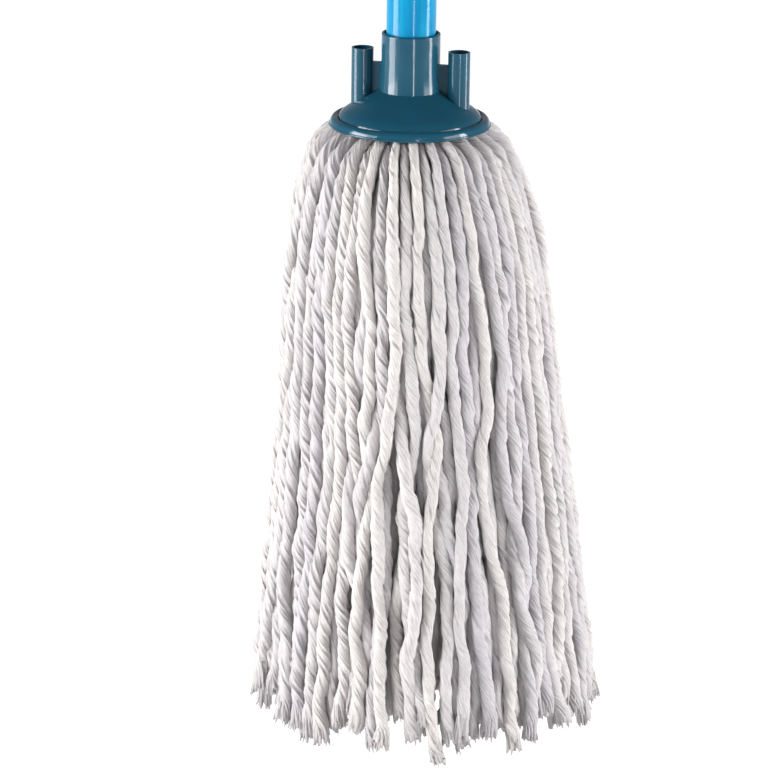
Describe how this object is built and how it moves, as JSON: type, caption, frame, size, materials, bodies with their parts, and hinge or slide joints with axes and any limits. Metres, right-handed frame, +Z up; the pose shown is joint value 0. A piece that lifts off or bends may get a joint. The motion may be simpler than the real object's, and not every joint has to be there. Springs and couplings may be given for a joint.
{
  "type": "string mop",
  "caption": "Round string mop: long tube handle with a hanging eye, push-on moulded cap with side tubes, and a bell of cotton strands.",
  "frame": {"origin": "centre of the hanging hole in the eye at the top of the handle", "axes": "+Z up along the handle's axis as the mop hangs, +Y along the hanging hole's axis, X through the cap's two side tubes"},
  "size_m": [0.1542, 0.1542, 1.5006],
  "materials": {
    "handle_steel": "satin",
    "handle_film": "gloss",
    "cap_plastic": "gloss",
    "handle_cap_plastic": "satin",
    "tip_plastic": "matte",
    "cotton_yarn": "matte"
  },
  "bodies": {
    "handle": {"handle_tube": "handle_steel", "handle_sleeve": "handle_film", "tip_plug": "tip_plastic", "hang_cap": "handle_cap_plastic"},
    "head": {"mop_cap": "cap_plastic", "clamp_plate": "cap_plastic", "folded_yarn": "cotton_yarn"},
    "yarn": {"inner_strands": "cotton_yarn", "outer_strand_01": "cotton_yarn", "outer_strand_02": "cotton_yarn", "outer_strand_03": "cotton_yarn", "outer_strand_04": "cotton_yarn", "outer_strand_05": "cotton_yarn", "outer_strand_06": "cotton_yarn", "outer_strand_07": "cotton_yarn", "outer_strand_08": "cotton_yarn", "outer_strand_09": "cotton_yarn", "outer_strand_10": "cotton_yarn", "outer_strand_11": "cotton_yarn", "outer_strand_12": "cotton_yarn", "outer_strand_13": "cotton_yarn", "outer_strand_14": "cotton_yarn", "outer_strand_15": "cotton_yarn", "outer_strand_16": "cotton_yarn", "outer_strand_17": "cotton_yarn", "outer_strand_18": "cotton_yarn", "outer_strand_19": "cotton_yarn", "outer_strand_20": "cotton_yarn", "outer_strand_21": "cotton_yarn", "outer_strand_22": "cotton_yarn", "outer_strand_23": "cotton_yarn", "outer_strand_24": "cotton_yarn", "outer_strand_25": "cotton_yarn", "outer_strand_26": "cotton_yarn", "outer_strand_27": "cotton_yarn", "outer_strand_28": "cotton_yarn", "second_strands_01": "cotton_yarn", "second_strands_02": "cotton_yarn", "second_strands_03": "cotton_yarn", "second_strands_04": "cotton_yarn", "second_strands_05": "cotton_yarn", "second_strands_06": "cotton_yarn", "second_strands_07": "cotton_yarn", "second_strands_08": "cotton_yarn", "second_strands_09": "cotton_yarn", "second_strands_10": "cotton_yarn", "second_strands_11": "cotton_yarn", "second_strands_12": "cotton_yarn", "second_strands_13": "cotton_yarn", "second_strands_14": "cotton_yarn"}
  },
  "joints": [
    {"name": "head_pull", "type": "slide", "parent": "handle", "child": "head", "axis": [0, 0, -1], "range_m": [0, 0.05]},
    {"name": "yarn_swing", "type": "hinge", "parent": "head", "child": "yarn", "pos_m": [0, 0, -1.2248], "axis": [0, 1, 0], "range_deg": [-30, 30], "deforming": ["outer_strand_01", "outer_strand_02", "outer_strand_03", "outer_strand_04", "outer_strand_05", "outer_strand_06", "outer_strand_07", "outer_strand_08", "outer_strand_09", "outer_strand_10", "outer_strand_11", "outer_strand_12", "outer_strand_13", "outer_strand_14", "outer_strand_15", "outer_strand_16", "outer_strand_17", "outer_strand_18", "outer_strand_19", "outer_strand_20", "outer_strand_21", "outer_strand_22", "outer_strand_23", "outer_strand_24", "outer_strand_25", "outer_strand_26", "outer_strand_27", "outer_strand_28", "second_strands_01", "second_strands_02", "second_strands_03", "second_strands_04", "second_strands_05", "second_strands_06", "second_strands_07", "second_strands_08", "second_strands_09", "second_strands_10", "second_strands_11", "second_strands_12", "second_strands_13", "second_strands_14"]}
  ]
}
